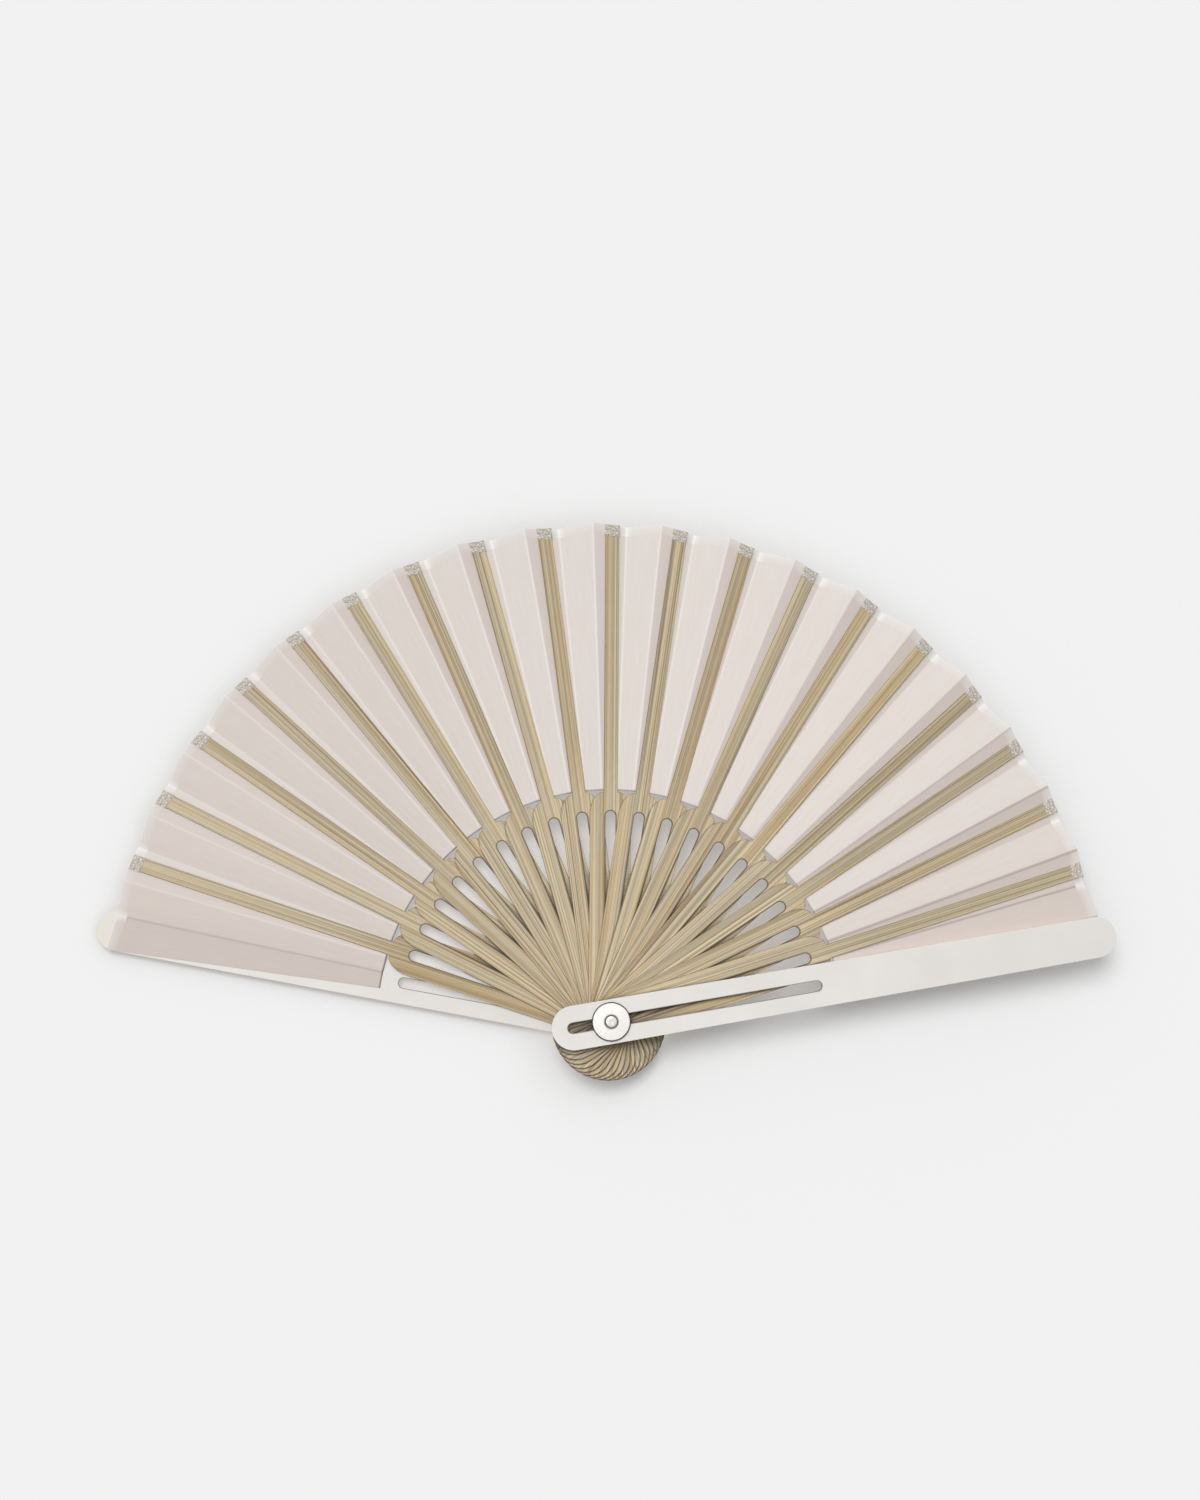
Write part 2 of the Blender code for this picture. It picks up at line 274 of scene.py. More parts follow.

# Nickel of rivet and washers. Rings are shades by distance from the axis, as a share of the
# washer's radius: the dark ones are painted shade and painted dark reflection along the rims,
# with some dirt by the rivet's head.
PIT_GRAIN = ((3000, 3000, 3000), 1, 2)
PIT_LEVEL = 0.3
NICKEL_TONES = ((0.42, (193, 191, 188)), (0.7, (200, 198, 195)))
NICKEL_ROUGHNESS = ((0.3, 0.5), (0.6, 0.36))
NICKEL_RELIEF = (0.2, 0.00004)
RIM_SHADE_AND_GRIME = (104, 98, 92)
RIVET_PITS = (178, 170, 165)
RIVET_RINGS = ((0.0, 0.86), (0.13, 0.84), (0.26, 0.9))
RIVET_RIM_SHADE = 0.33
WASHER_PITS = (180, 176, 171)
WASHER_INNER_SHADE_AND_GRIME = 0.335
WASHER_RINGS = ((0.4, 0.9), (0.46, 1.0), (0.925, 1.0))
WASHER_RIM_SHADE = 0.95

# Weave of the cloth
WEAVE_DISTORTION = 0.6
WEAVE_DETAIL = 1.0
WEAVE_SHADES = ((0.0, 0.975), (1.0, 1.0))
WEAVE_RELIEF = (0.3, 0.00005)
CLOTH_SPECULAR = 0.25

# Cloth of the leaf, its painted shade from none to the deepest, and the tones of the painted
# highlight and shadow lines along its folds and of the painted shadow line along its inner edge
SLUB_GRAIN = ((1300, 90, 0), 4, 2)
CLOTH_TONES = ((0.3, (221, 212, 206)), (0.7, (224, 216, 210)))
CLOTH_PAINTED_SHADE = (
    (0.0, (1, 1, 1, 1)), (0.4, (0.965, 0.935, 0.915, 1)), (1.0, (0.76, 0.725, 0.71, 1)),
)
LINE_STRENGTHS = ((0.0, 0.0), (1.0, 0.6))
PAINTED_HIGHLIGHT_TONE = (242, 237, 234)
PAINTED_FOLD_SHADOW_TONE = (158, 143, 139)
INNER_SHADOW_TONE = (86, 70, 63)
CLOTH_ROUGHNESS = 0.88
SHEEN_WEIGHT = 0.1
SHEEN_ROUGHNESS = 0.5

# Hem, from its free edge at 0 to the leaf's outer edge at 1: tape on the cloth, and sheer
# over the strips
HEM_GRAIN = ((1900, 1900, 0), 9, 2)
HEM_EDGE_TONE = (223, 214, 208)
HEM_TONES = ((0.3, (231, 228, 224)), (0.7, (238, 236, 233)))
HEM_FADE = ((0.02, 0.0), (0.12, 0.25), (0.65, 0.9))
# How much of the cloth's painted shade the hem takes, by the share of the hem
HEM_SHADE_DEPTH = ((0.05, 1.0), (0.6, 0.4))
NOTCH_STRENGTHS = ((0.0, 0.0), (1.0, 0.75))
NOTCH_TONE = (247, 246, 244)
SHEER_TONES = ((0.38, (206, 196, 181)), (0.62, (230, 226, 219)))
SHEER_EDGE = ((0.45, 0.0), (0.75, 0.6))
SHEER_EDGE_TONE = (196, 182, 160)
SHEER_COVER = ((0.38, 0.5), (0.62, 0.85))
HEM_COVER = 0.97
HEM_ROUGHNESS = 0.8

# Turned pieces: the washers' hole, chamfer, rims and crown, and the rivet's shank and the
# section of its heads as (radius, depth under the top)
TURNED_STEPS = 96
MERGE_DISTANCE = 1e-6
WASHER_HOLE = 0.00205
HOLE_CHAMFER = 0.0001
RIM_ROUND = 0.0003
RIM_ROWS = 4
WASHER_CROWN = 0.00006
SHANK_RADIUS = 0.0019
RIVET_HEAD = (
    (0.0, 0.00002), (0.0006, 0.00001), (0.0012, 0.0), (0.0018, 0.00001), (0.0021, 0.00005),
    (0.0023, 0.00015), (0.00243, 0.00034), (0.00245, 0.00055), (0.00245, 0.0008),
    (SHANK_RADIUS, 0.0008),
)


def layer_direction(layer):
    return REAR_DIRECTION - layer * FOLD_STEP


def cloth_base(layer):
    """Height of the cloth's middle where it lies along a layer."""
    if layer == 0:
        return REAR_GUARD_TOP + CLOTH_LIFT
    if layer == LAST_LAYER:
        return FRONT_GUARD_BASE - CLOTH_LIFT
    stick = REAR_GUARD_TOP + GUARD_GAP + (layer - 1) * LAYER_PITCH
    return stick + STICK_THICKNESS - STRIP_THICKNESS - CLOTH_LIFT


def smooth(share):
    """A share from 0 to 1, with a gentle start and end."""
    return share * share * (3 - 2 * share)


def twist_share(reach):
    """How far strips and cloth are twisted: 0 by the slots, 1 beyond the twist."""
    return smooth(min(max((reach - TWIST_START) / TWIST_LENGTH, 0), 1))


def layer_slope(layer):
    from_guard = min(layer, LAST_LAYER - layer)
    return min(FULL_SLOPE, from_guard * math.tan(TWIST_STEP))


def along_layer(layer, reach, angle):
    """Height of the cloth that lies along a layer, at an angle from its middle line."""
    tilt = layer_slope(layer) * twist_share(reach)
    return cloth_base(layer) + tilt * reach * math.sin(angle)


def between_layers(layer, reach, angle):
    """Height of the cloth from one layer to the next, with sharp folds and a bowed panel."""
    if angle >= VALLEY:
        return along_layer(layer, reach, angle)
    mountain = MOUNTAIN - FOLD_STEP
    if angle <= mountain:
        return along_layer(layer + 1, reach, angle + FOLD_STEP)
    share = (VALLEY - angle) / (VALLEY - mountain)
    low = along_layer(layer, reach, VALLEY)
    high = along_layer(layer + 1, reach, MOUNTAIN)
    return low + (high - low) * share + PANEL_BOW * math.sin(math.pi * share)


def unevenness(grain, reach, share, layer):
    """Smooth noise over one panel of the cloth."""
    wave, across, step = grain
    return noise.noise(Vector((reach / wave, share * across, layer * step)))


def cloth_height(layer, reach, angle):
    """The same height with folds rounded off, and with the panel's ripples and puckers."""
    fold_angle = FOLD_RADIUS / reach
    sides = between_layers(layer, reach, angle - fold_angle)
    sides += between_layers(layer, reach, angle + fold_angle)
    height = sides / 4 + between_layers(layer, reach, angle) / 2
    share = (VALLEY - angle) / (FOLD_STEP / 2)
    if 0 < share < 1:
        window = math.sin(math.pi * share)
        height += RIPPLE_HEIGHT * window * unevenness(RIPPLE_GRAIN, reach, share, layer)
        fade = math.exp(-(reach - LEAF_INNER) / PUCKER_REACH)
        height += PUCKER_HEIGHT * window * fade * unevenness(PUCKER_GRAIN, reach, share, layer)
    return height


def off_strip(layer, reach, angle):
    """Distance from the middle line of the nearer strip that this piece of cloth lies under."""
    distance = 1.0
    for side, nearest in ((layer, 0), (layer + 1, -FOLD_STEP)):
        if 0 < side < LAST_LAYER:
            distance = min(distance, abs(reach * math.sin(angle - nearest)))
    return distance


def fold_inset(layer, angle):
    """How far the outer edge is drawn in at a valley. It stands out at a mountain fold."""
    share = (MOUNTAIN - angle) % FOLD_STEP / (FOLD_STEP / 2)
    share = min(share, 2 - share)
    inset = VALLEY_INSET * share**INSET_POWER - MOUNTAIN_OUTSET
    if off_strip(layer, LEAF_OUTER, angle) < STRIP_HALF_WIDTH + 2 * STRIP_MARGIN:
        inset = min(inset, STRIP_INSET)
    return inset


def line_angle(spot, reach):
    """Angle of a line of cloth: it keeps its offset from a fold or strip, up to a limit."""
    fold, offset, limit = spot
    return fold + min(max(offset / reach, -limit), limit)


def piece_spots(layer):
    """The lines of one cloth piece, from the middle of a layer towards the next."""
    mountain = MOUNTAIN - FOLD_STEP
    spots = [(0, 0, 0)]
    spots += [(0, -offset, limit) for offset, limit in STRIP_LINES]
    spots += [(VALLEY, offset, math.pi) for offset in FOLD_OFFSETS]
    spots += [(VALLEY + share * (mountain - VALLEY), 0, 0) for share in PANEL_SHARES]
    spots += [(mountain, offset, math.pi) for offset in FOLD_OFFSETS]
    spots += [(-FOLD_STEP, offset, limit) for offset, limit in reversed(STRIP_LINES)]
    spots.append((-FOLD_STEP, 0, 0))
    if layer == 0:
        spots = [(MOUNTAIN * share, 0, 0) for share in REAR_END_SHARES] + spots
    if layer == STICK_COUNT:
        spots += [(VALLEY * share - FOLD_STEP, 0, 0) for share in FRONT_END_SHARES]
    return spots


def leaf_reaches():
    """Distances of the cloth's rows from the rivet, closer together at the inner edge."""
    puckered = LEAF_INNER + PUCKER_REACH
    rows = [LEAF_INNER + PUCKER_REACH * row / PUCKER_ROWS for row in range(PUCKER_ROWS)]
    rows.insert(1, LEAF_INNER + INNER_LINE)
    outer = LEAF_OUTER - HEM_WIDTH
    rows += [puckered + (outer - puckered) * row / PANEL_ROWS for row in range(PANEL_ROWS)]
    rows += [outer + HEM_WIDTH * row / HEM_ROWS for row in range(HEM_ROWS)]
    return rows


def over_strip(layer, reach, angle):
    """1 where the hem lies over a strip's tip, falling smoothly to 0 beside it."""
    off = off_strip(layer, reach, angle) - STRIP_HALF_WIDTH - STRIP_MARGIN
    return smooth(min(max(1 - off / HEM_STEP, 0), 1))


def hem_height(layer, reach, angle):
    """Height of the turned-over hem: on the cloth, and over the tips of the strips."""
    over = STRIP_THICKNESS + 2 * CLOTH_LIFT - HEM_LIFT
    return cloth_height(layer, reach, angle) + HEM_LIFT + over * over_strip(layer, reach, angle)


def hem_path(layer, spot, edge):
    """Points (reach, angle, height) of one line of cloth round the outer edge and back."""
    angle = line_angle(spot, edge)
    low = cloth_height(layer, edge, angle)
    high = hem_height(layer, edge, angle)
    path = []
    for row in range(TURN_ROWS + 1):
        turn = math.pi * row / TURN_ROWS - math.pi / 2
        reach = edge - HEM_TURN + HEM_TURN * math.cos(turn)
        path.append((reach, angle, (low + high + (high - low) * math.sin(turn)) / 2))
    for share in HEM_SHARES:
        reach = edge - HEM_TURN - (HEM_WIDTH - HEM_TURN) * share
        angle = line_angle(spot, reach)
        sunk = HEM_LIFT * HEM_SINK * share * (1 - over_strip(layer, reach, angle))
        path.append((reach, angle, hem_height(layer, reach, angle) - sunk))
    return path


def cloth_line(layer, spot):
    """Points of one line of cloth from the inner edge to the hem's end."""
    edge = LEAF_OUTER - fold_inset(layer, line_angle(spot, LEAF_OUTER))
    stretch = (edge - LEAF_INNER) / (LEAF_OUTER - LEAF_INNER)
    points = []
    for row in leaf_reaches():
        reach = LEAF_INNER + (row - LEAF_INNER) * stretch
        angle = line_angle(spot, reach)
        points.append((reach, angle, cloth_height(layer, reach, angle)))
    turned = len(points)
    return points + hem_path(layer, spot, edge), turned


def read_table(table, place):
    """Value at a place in a table of (place, value), on straight lines between its rows."""
    if place <= table[0][0]:
        return table[0][1]
    for (low, first), (high, second) in zip(table, table[1:]):
        if place <= high:
            return first + (second - first) * (place - low) / (high - low)
    return table[-1][1]


def fold_light_at(layer, reach, angle):
    """Painted light on a fold line, above 0 a highlight and below 0 a shadow, falling to 0 beside it."""
    valley = angle - VALLEY
    mountain = angle - MOUNTAIN + FOLD_STEP
    if abs(valley) < abs(mountain):
        offset, tone = valley, read_table(VALLEY_LIGHT_AND_SHADE, layer)
    else:
        offset, tone = mountain, read_table(MOUNTAIN_LIGHT_AND_SHADE, layer)
    return tone * math.exp(-((offset * reach / FOLD_LIGHT_WIDTH) ** 2))


def painted_shade_at(layer, angle):
    """Painted shade on the cloth, darker and pinker: on each side of its strips, and on its panels."""
    if angle > VALLEY:
        return read_table(VALLEY_SIDE_PAINTED_SHADE, layer)
    if angle < MOUNTAIN - FOLD_STEP:
        return read_table(MOUNTAIN_SIDE_PAINTED_SHADE, layer + 1)
    return read_table(PANEL_PAINTED_SHADE, layer)


def cloth_marks(layer, reach, angle, row, rows, turned):
    """What the cloth's materials read at one point of a line of cloth."""
    return {
        "fold_light": fold_light_at(layer, reach, angle),
        "painted_shade": painted_shade_at(layer, angle),
        "hemmed": (rows - 1 - row) / (rows - turned),
        "notch": math.exp(-(((angle - VALLEY) * reach / NOTCH_WIDTH) ** 2)),
        "beside": off_strip(layer, reach, angle),
        "inner": 0 if row else read_table(INNER_SHADOW_LINES, layer),
    }


def add_line(bm, layer, spot, flat):
    """Add one line of cloth with its marks, and note where its points lie when flat."""
    points, turned = cloth_line(layer, spot)
    line = []
    length = 0
    for reach, angle, height in points:
        heading = layer_direction(layer) + angle
        place = Vector((reach * math.cos(heading), reach * math.sin(heading), height))
        if line:
            length += (place - line[-1].co).length
        vert = bm.verts.new(place)
        marks = cloth_marks(layer, reach, angle, len(line), len(points), turned)
        for name, value in marks.items():
            vert[bm.verts.layers.float[name]] = value
        flat[vert] = ((LEAF_INNER + length) * angle, length)
        line.append(vert)
    return line, turned


def mesh_from(bm, name):
    """Turn what was modelled into a smooth mesh."""
    bmesh.ops.recalc_face_normals(bm, faces=bm.faces[:])
    mesh = bpy.data.meshes.new(name)
    bm.to_mesh(mesh)
    bm.free()
    mesh.shade_smooth()
    return mesh


def cloth_mesh(layer):
    """Mesh of the cloth from the middle of one layer to the middle of the next."""
    bm = bmesh.new()
    for name in CLOTH_MARKS:
        bm.verts.layers.float.new(name)
    weave = bm.loops.layers.uv.new("weave")
    lines = []
    flat = {}
    for spot in piece_spots(layer):
        line, turned = add_line(bm, layer, spot, flat)
        lines.append(line)
    for left, right in zip(lines, lines[1:]):
        for row in range(len(left) - 1):
            face = bm.faces.new((left[row], left[row + 1], right[row + 1], right[row]))
            face.material_index = 1 if row >= turned else 0
            for loop in face.loops:
                loop[weave].uv = flat[loop.vert]
    return mesh_from(bm, f"leaf_cloth_{layer:02d}")


def add_object(name, data):
    item = bpy.data.objects.new(name, data)
    bpy.context.scene.collection.objects.link(item)
    return item


def make_cloth(layer, materials):
    """The cloth between two layers, hem included, as a thin shell."""
    mesh = cloth_mesh(layer)
    for material in materials:
        mesh.materials.append(material)
    cloth = add_object(mesh.name, mesh)
    shell = cloth.modifiers.new("cloth", "SOLIDIFY")
    shell.thickness = CLOTH_THICKNESS
    shell.offset = 0
    shading = cloth.modifiers.new("shading", "WEIGHTED_NORMAL")
    shading.keep_sharp = True
    return cloth


def body_of(layer):
    if layer == 0:
        return "rear_guard"
    if layer == LAST_LAYER:
        return "front_guard"
    return f"stick_{layer:02d}"


def flat_size(layer):
    """Width, length and area of one piece of cloth when it lies flat."""
    spread = FOLD_STEP
    if layer == 0:
        spread += MOUNTAIN
    if layer == STICK_COUNT:
        spread -= VALLEY
    width = spread * LEAF_OUTER
    length = LEAF_OUTER - LEAF_INNER + HEM_WIDTH
    area = spread * (LEAF_OUTER**2 - LEAF_INNER**2) / 2 + width * HEM_WIDTH
    return width, length, area


def place_cloth(layer, cloth):
    """Let the cloth bend between its two layers, and hide the frame's leaf nodes that it stands for."""
    across = layer_direction(layer) + (VALLEY + MOUNTAIN - FOLD_STEP) / 2
    middle = Vector((math.cos(across), math.sin(across), 0)) * (LEAF_INNER + LEAF_OUTER) / 2
    side = Vector((-math.sin(across), math.cos(across), 0))
    half = LEAF_INNER * math.sin(FOLD_STEP / 2 - (VALLEY + MOUNTAIN) / 2)
    start = middle + side * half
    end = middle - side * half
    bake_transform(cloth, body_of(layer), body_of(layer + 1), start=start, end=end)
    nodes = [f"leaf_{layer + 1:02d}"]
    if layer == 0:
        nodes.append("leaf_00")
    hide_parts(*nodes)
    width, length, area = flat_size(layer)


def new_material(name):
    material = bpy.data.materials.new(name)
    material.use_nodes = True
    return material, material.node_tree.nodes, material.node_tree.links


def add_node(nodes, kind, **values):
    node = nodes.new(kind)
    for name, value in values.items():
        setattr(node, name, value)
    return node


def colour(red, green, blue):
    """A colour written as 0 to 255 on the screen, as the shader wants it."""
    parts = []
    for part in (red, green, blue):
        part /= 255
        parts.append(part / 12.92 if part <= 0.04045 else ((part + 0.055) / 1.055) ** 2.4)
    return (*parts, 1.0)


def grey(level):
    return (level, level, level, 1.0)


def colours(table):
    """Stops of a ramp from a table of places and tones."""
    return [(place, colour(*tone)) for place, tone in table]


def greys(table):
    """Stops of a ramp from a table of places and levels."""
    return [(place, grey(level)) for place, level in table]


def feed(links, socket, value):
    """Give a node's input a plain value, or what comes out of another node."""
    if isinstance(value, bpy.types.NodeSocket):
        links.new(value, socket)
    else:
        socket.default_value = value


def stretched_noise(nodes, links, place, grain, shift=0):
    """Noise with its own scale along each axis of the place that it is given."""
    stretch, own_shift, detail = grain
    scaled = add_node(nodes, "ShaderNodeVectorMath", operation="MULTIPLY_ADD")
    scaled.inputs[1].default_value = stretch
    scaled.inputs[2].default_value = NOISE_SHIFT * (shift + own_shift)
    links.new(place, scaled.inputs[0])
    texture = add_node(nodes, "ShaderNodeTexNoise")
    texture.inputs["Scale"].default_value = 1.0
    texture.inputs["Detail"].default_value = detail
    links.new(scaled.outputs[0], texture.inputs["Vector"])
    return texture.outputs["Fac"]


def ramp(nodes, links, factor, stops):
    node = add_node(nodes, "ShaderNodeValToRGB")
    elements = node.color_ramp.elements
    elements[0].position, elements[0].color = stops[0]
    elements[1].position, elements[1].color = stops[-1]
    for position, shade in stops[1:-1]:
        elements.new(position).color = shade
    links.new(factor, node.inputs["Fac"])
    return node.outputs["Color"]


def mix(nodes, links, kind, factor, first, second):
    """Mix two colours, which are inputs 6 and 7 of the node. Its output 2 is the result."""
    node = add_node(nodes, "ShaderNodeMix", data_type="RGBA", blend_type=kind)
    feed(links, node.inputs[0], factor)
    feed(links, node.inputs[6], first)
    feed(links, node.inputs[7], second)
    return node.outputs[2]


def bump(nodes, links, shader, height, relief):
    strength, distance = relief
    node = add_node(nodes, "ShaderNodeBump")
    node.inputs["Strength"].default_value = strength
    node.inputs["Distance"].default_value = distance
    links.new(height, node.inputs["Height"])
    links.new(node.outputs["Normal"], shader.inputs["Normal"])


def calculate(nodes, links, operation, *values):
    node = add_node(nodes, "ShaderNodeMath", operation=operation)
    for socket, value in zip(node.inputs, values):
        feed(links, socket, value)
    return node.outputs[0]


def rise(nodes, links, value, start, full):
    """0 up to one value and 1 from another on, rising evenly between them."""
    spread = add_node(nodes, "ShaderNodeMapRange")
    spread.inputs["From Min"].default_value = start
    spread.inputs["From Max"].default_value = full
    links.new(value, spread.inputs["Value"])
    return spread.outputs["Result"]


def length_of(nodes, links, vector):
    measure = add_node(nodes, "ShaderNodeVectorMath", operation="LENGTH")
    links.new(vector, measure.inputs[0])
    return measure.outputs["Value"]


def openness(nodes, distance, samples):
    """1 where nothing is within a distance, and less in a crevice."""
    nearby = add_node(nodes, "ShaderNodeAmbientOcclusion", samples=samples)
    nearby.inputs["Distance"].default_value = distance
    return nearby.outputs["AO"]


def turned_place(nodes, links, layer):
    """Places measured along a layer's own length, across it and up."""
    place = add_node(nodes, "ShaderNodeTexCoord").outputs["Object"]
    turned = add_node(nodes, "ShaderNodeMapping")
    turned.inputs["Rotation"].default_value = (0, 0, -layer_direction(layer))
    links.new(place, turned.inputs["Vector"])
    return turned.outputs["Vector"]


def slot_line(nodes, links, along, slot_end, fade):
    """1 on the edge of a piece's slot and on its wall, falling to 0 beside it."""
    split = add_node(nodes, "ShaderNodeSeparateXYZ")
    links.new(along, split.inputs[0])
    outer = calculate(nodes, links, "SUBTRACT", split.outputs["X"], slot_end - SLOT_RADIUS)
    tail = calculate(nodes, links, "SUBTRACT", SLOT_TAIL + SLOT_RADIUS, split.outputs["X"])
    past = calculate(nodes, links, "MAXIMUM", outer, tail)
    past = calculate(nodes, links, "MAXIMUM", past, 0.0)
    off = add_node(nodes, "ShaderNodeCombineXYZ")
    links.new(past, off.inputs["X"])
    links.new(split.outputs["Y"], off.inputs["Y"])
    distance = length_of(nodes, links, off.outputs[0])
    return rise(nodes, links, distance, SLOT_RADIUS + fade, SLOT_RADIUS + SLOT_LINE)


def edge_mask(nodes, links, width, samples):
    """1 on the arris of a piece, falling to 0 within a width of it."""
    rounded = add_node(nodes, "ShaderNodeBevel", samples=samples)
    rounded.inputs["Radius"].default_value = width
    plain = add_node(nodes, "ShaderNodeNewGeometry").outputs["Normal"]
    likeness = add_node(nodes, "ShaderNodeVectorMath", operation="DOT_PRODUCT")
    links.new(rounded.outputs["Normal"], likeness.inputs[0])
    links.new(plain, likeness.inputs[1])
    return ramp(nodes, links, likeness.outputs["Value"], greys(ARRIS_FALL))


def reached(nodes, links, along, start, full):
    """0 before a place along the stick's own length, rising to 1 at another."""
    split = add_node(nodes, "ShaderNodeSeparateXYZ")
    links.new(along, split.inputs[0])
    return rise(nodes, links, split.outputs["X"], start, full)


def bamboo_grain(nodes, links, along, layer):
    """Colour of long straight fibres, with dark and pale threads, and the fibres' noise."""
    shift = layer * LAYER_SHIFT
    lean = TONE_LEAN * noise.noise(Vector((layer * LEAN_STEP, *LEAN_PLACE)))
    bands = stretched_noise(nodes, links, along, BAND_GRAIN, shift)
    stops = [(place + lean, tone) for place, tone in BAMBOO_TONES]
    tone = ramp(nodes, links, bands, colours(stops))
    fibres = stretched_noise(nodes, links, along, FIBRE_GRAIN, shift)
    shade = ramp(nodes, links, fibres, greys(FIBRE_SHADES))
    tone = mix(nodes, links, "MULTIPLY", 1.0, tone, shade)
    for grain, low, strength, thread in BAMBOO_THREADS:
        threads = stretched_noise(nodes, links, along, grain, shift)
        middle = low + THREAD_SPREAD
        stops = [(0.0, 0), (low, 0), (middle, strength), (middle + THREAD_SPREAD, 0)]
        line = ramp(nodes, links, threads, greys(stops))
        tone = mix(nodes, links, "MIX", line, tone, colour(*thread))
    flecks = stretched_noise(nodes, links, along, FLECK_GRAIN, shift)
    shade = ramp(nodes, links, flecks, greys(FLECK_SHADES))
    return mix(nodes, links, "MULTIPLY", 1.0, tone, shade), fibres


def dark_edges_and_shadow(nodes, links, along, tone):
    """Darken a stick's arrises and the line round its slot: dark edges with painted shadow along them."""
    arris = edge_mask(nodes, links, ARRIS_WIDTH, ARRIS_SAMPLES)
    strength = reached(nodes, links, along, ARRIS_START, ARRIS_END)
    strength = ramp(nodes, links, strength, greys(ARRIS_STRENGTHS))
    arris = mix(nodes, links, "MULTIPLY", 1.0, arris, strength)
    tone = mix(nodes, links, "MIX", arris, tone, colour(*ARRIS_DARK_AND_SHADOW_TONE))
    line = slot_line(nodes, links, along, SLOT_END, SLOT_LINE_FADE)
    line = ramp(nodes, links, line, greys(SLOT_STRENGTHS))
    return mix(nodes, links, "MIX", line, tone, colour(*SLOT_EDGE_AND_SHADOW_TONE))


def paint_crevice_shade(nodes, links, along, tone):
    """Painted shade where a stick's neighbours are near, and painted light just beyond it, in another way at
    its tail.
    """
    clear = openness(nodes, CREVICE_REACH, CREVICE_SAMPLES)
    shade = ramp(nodes, links, clear, PAINTED_CREVICE_SHADE)
    tail_shade = ramp(nodes, links, clear, PAINTED_TAIL_SHADE)
    tail = reached(nodes, links, along, TAIL_START, TAIL_FULL)
    shade = mix(nodes, links, "MIX", tail, shade, tail_shade)
    return mix(nodes, links, "MULTIPLY", 1.0, tone, shade)


def own_shade(nodes, links, along, tone, layer):
    """Give each strip its own shade, and the first stick's body a darker one."""
    if layer == 1:
        body = reached(nodes, links, along, TWIST_END, TWIST_START)
        tone = mix(nodes, links, "MULTIPLY", body, tone, FIRST_STICK_SHADE)
    strip = reached(nodes, links, along, TWIST_START, TWIST_END)
    return mix(nodes, links, "MULTIPLY", strip, tone, grey(read_table(STRIP_SHADES, layer)))


def bamboo_material(layer):
    """Split bamboo in gold, beige and grey-green, with dark edges, painted shadow along them and painted
    shade in crevices.
    """
    material, nodes, links = new_material(f"bamboo_{layer:02d}")
    shader = nodes["Principled BSDF"]
    along = turned_place(nodes, links, layer)
    tone, fibres = bamboo_grain(nodes, links, along, layer)
    tone = dark_edges_and_shadow(nodes, links, along, tone)
    tone = paint_crevice_shade(nodes, links, along, tone)
    tone = own_shade(nodes, links, along, tone, layer)
    links.new(tone, shader.inputs["Base Color"])
    roughness = ramp(nodes, links, fibres, greys(FIBRE_ROUGHNESS))
    links.new(roughness, shader.inputs["Roughness"])
    bump(nodes, links, shader, fibres, FIBRE_RELIEF)
    return material


def lacquer_material(name, layer, tinted):
    """White satin lacquer with a faint unevenness, a little creamier at a bare outer end."""
    material, nodes, links = new_material(name)
    shader = nodes["Principled BSDF"]
    place = add_node(nodes, "ShaderNodeTexCoord").outputs["Object"]
    cloudy = stretched_noise(nodes, links, place, CLOUD_GRAIN)
    tone = ramp(nodes, links, cloudy, colours(LACQUER_TONES))
    start = LEAF_OUTER - HEM_WIDTH if tinted else LEAF_INNER
    end = rise(nodes, links, length_of(nodes, links, place), start, LEAF_OUTER)
    if tinted:
        tone = mix(nodes, links, "MULTIPLY", 1.0, tone, REAR_SHADE)
        tone = mix(nodes, links, "MIX", end, tone, colour(*REAR_END_TONE))
    else:
        tone = mix(nodes, links, "MULTIPLY", end, tone, FRONT_END_SHADE)
    along = turned_place(nodes, links, layer)
    # A dark edge with painted shadow round the guard's slot
    line = slot_line(nodes, links, along, GUARD_SLOT_END, GUARD_LINE_FADE)
    line = ramp(nodes, links, line, greys(GUARD_SLOT_STRENGTHS))
    tone = mix(nodes, links, "MIX", line, tone, colour(*GUARD_SLOT_EDGE_AND_SHADOW_TONE))
    links.new(tone, shader.inputs["Base Color"])
    fine = stretched_noise(nodes, links, place, LACQUER_GRAIN)
    roughness = ramp(nodes, links, fine, greys(LACQUER_ROUGHNESS))
    links.new(roughness, shader.inputs["Roughness"])
    shader.inputs["Coat Weight"].default_value = COAT_WEIGHT
    shader.inputs["Coat Roughness"].default_value = COAT_ROUGHNESS
    bump(nodes, links, shader, fine, LACQUER_RELIEF)
    return material


def radius_share(nodes, links, place):
    """Distance from the rivet's axis, as a share of the washer's radius."""
    flat = add_node(nodes, "ShaderNodeVectorMath", operation="MULTIPLY")
    flat.inputs[1].default_value = (1, 1, 0)
    links.new(place, flat.inputs[0])
    radius = length_of(nodes, links, flat.outputs[0])
    return calculate(nodes, links, "DIVIDE", radius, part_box("front_washer")[1].x)


